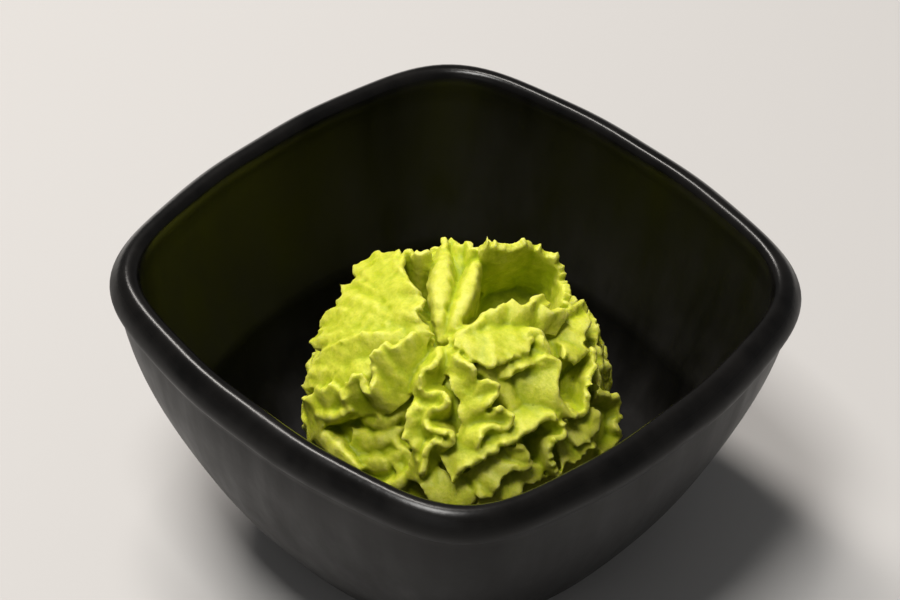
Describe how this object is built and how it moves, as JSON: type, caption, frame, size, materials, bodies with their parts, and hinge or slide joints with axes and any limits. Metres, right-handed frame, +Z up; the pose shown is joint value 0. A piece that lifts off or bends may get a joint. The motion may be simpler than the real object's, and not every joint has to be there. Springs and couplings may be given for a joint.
{
  "type": "bowl of wasabi paste",
  "caption": "Small rounded-square black bowl on a plain foot, holding a ruffled mound of pale green wasabi paste to serve as a condiment.",
  "frame": {"origin": "centre of the foot, on the surface that the bowl stands on", "axes": "+Z up; the bowl's sides face +X, -X, +Y and -Y, and its rounded corners point along the diagonals"},
  "size_m": [0.0802, 0.0802, 0.044],
  "materials": {
    "black_glaze": "satin to glossy black glaze",
    "wasabi_paste": "moist, matte, finely grained paste"
  },
  "bodies": {
    "root": {"bowl": "black_glaze", "wasabi_paste": "wasabi_paste"}
  },
  "joints": []
}
